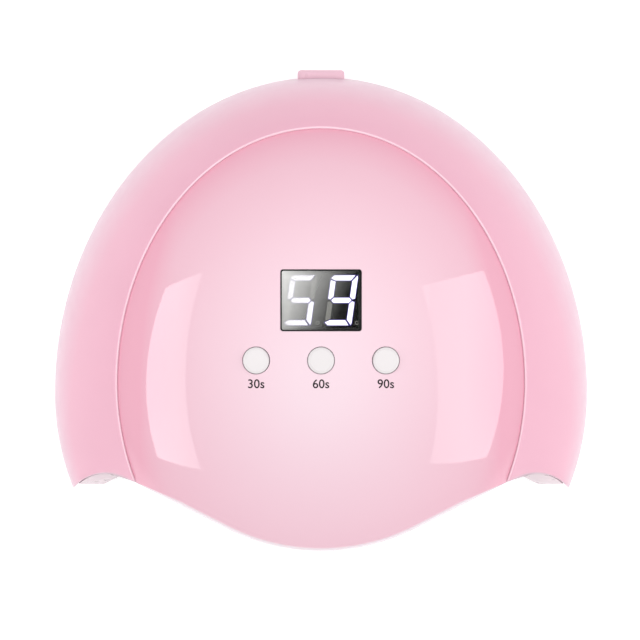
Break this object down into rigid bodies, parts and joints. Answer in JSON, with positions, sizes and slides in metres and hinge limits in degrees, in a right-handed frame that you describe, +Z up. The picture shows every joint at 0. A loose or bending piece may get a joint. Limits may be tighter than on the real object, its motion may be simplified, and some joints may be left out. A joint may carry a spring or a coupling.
{
  "type": "uv led nail lamp",
  "caption": "Domed pink gel-nail curing lamp with a front hand opening, two-digit timer window and three round timer buttons.",
  "frame": {"origin": "on the table, under the middle of the lamp", "axes": "+Z up, +Y towards the power socket at the back, the hand opening faces -Y"},
  "size_m": [0.1842, 0.166, 0.0764],
  "materials": {
    "gloss_pink": "high gloss pink ABS",
    "satin_pink": "satin pink ABS",
    "white_plastic": "white reflective ABS",
    "clear_rubber": "soft grey silicone",
    "steel": "zinc plated",
    "smoked_window": "smoked clear acrylic",
    "black_foam": "black foam tape",
    "display_black": "matt black epoxy face",
    "digit_lit": "lit white diffuser",
    "digit_unlit": "unlit grey diffuser",
    "contact_metal": "tinned brass",
    "button_white": "smooth white ABS",
    "black_plastic": "moulded black",
    "board_green": "green solder mask",
    "capacitor_sleeve": "aluminium can with sleeve",
    "connector_cream": "nylon",
    "board_aluminium": "aluminium board with white mask",
    "emitter_body": "white ceramic",
    "clear_lens": "clear silicone lens",
    "mirror_cup": "vacuum plated",
    "red_wire": "PVC insulation",
    "white_wire": "PVC insulation",
    "black_wire": "PVC insulation"
  },
  "bodies": {
    "housing": {"top_panel": "gloss_pink", "rim_housing": "satin_pink", "inner_liner": "white_plastic", "base_ring": "white_plastic", "rubber_feet": "clear_rubber", "base_screws": "steel", "display_lens": "smoked_window", "lens_tape": "black_foam", "display_body": "display_black", "display_segments_lit": "digit_lit", "display_segments_unlit": "digit_unlit", "display_pins": "contact_metal", "switch_bases": "black_plastic", "switch_covers": "steel", "control_board": "board_green", "board_screws": "steel", "mcu_chip": "black_plastic", "capacitors": "capacitor_sleeve", "power_inductor": "black_plastic", "driver_transistors": "black_plastic", "chip_resistors": "black_plastic", "board_headers": "connector_cream", "wire_plugs": "connector_cream", "led_boards": "board_aluminium", "led_packages": "emitter_body", "led_lenses": "clear_lens", "reflector_cups": "mirror_cup", "sensor_board": "board_green", "ir_emitter": "clear_lens", "ir_receiver": "black_plastic", "jack_bezel": "satin_pink", "dc_jack_body": "black_plastic", "dc_jack_pin": "contact_metal", "dc_jack_contacts": "contact_metal", "power_wires": "red_wire", "led_wires": "white_wire", "sensor_wires": "black_wire", "wire_clips": "black_foam"},
    "key_30s": {"button_30s": "button_white", "plunger_30s": "black_plastic"},
    "key_60s": {"button_60s": "button_white", "plunger_60s": "black_plastic"},
    "key_90s": {"button_90s": "button_white", "plunger_90s": "black_plastic"}
  },
  "joints": [
    {"name": "press_30s", "type": "slide", "parent": "housing", "child": "key_30s", "axis": [0, 0, -1], "range_m": [0, 0.0005], "stiffness_N_per_m": 3000},
    {"name": "press_60s", "type": "slide", "parent": "housing", "child": "key_60s", "axis": [0, 0, -1], "range_m": [0, 0.0005], "stiffness_N_per_m": 3000},
    {"name": "press_90s", "type": "slide", "parent": "housing", "child": "key_90s", "axis": [0, 0, -1], "range_m": [0, 0.0005], "stiffness_N_per_m": 3000}
  ]
}
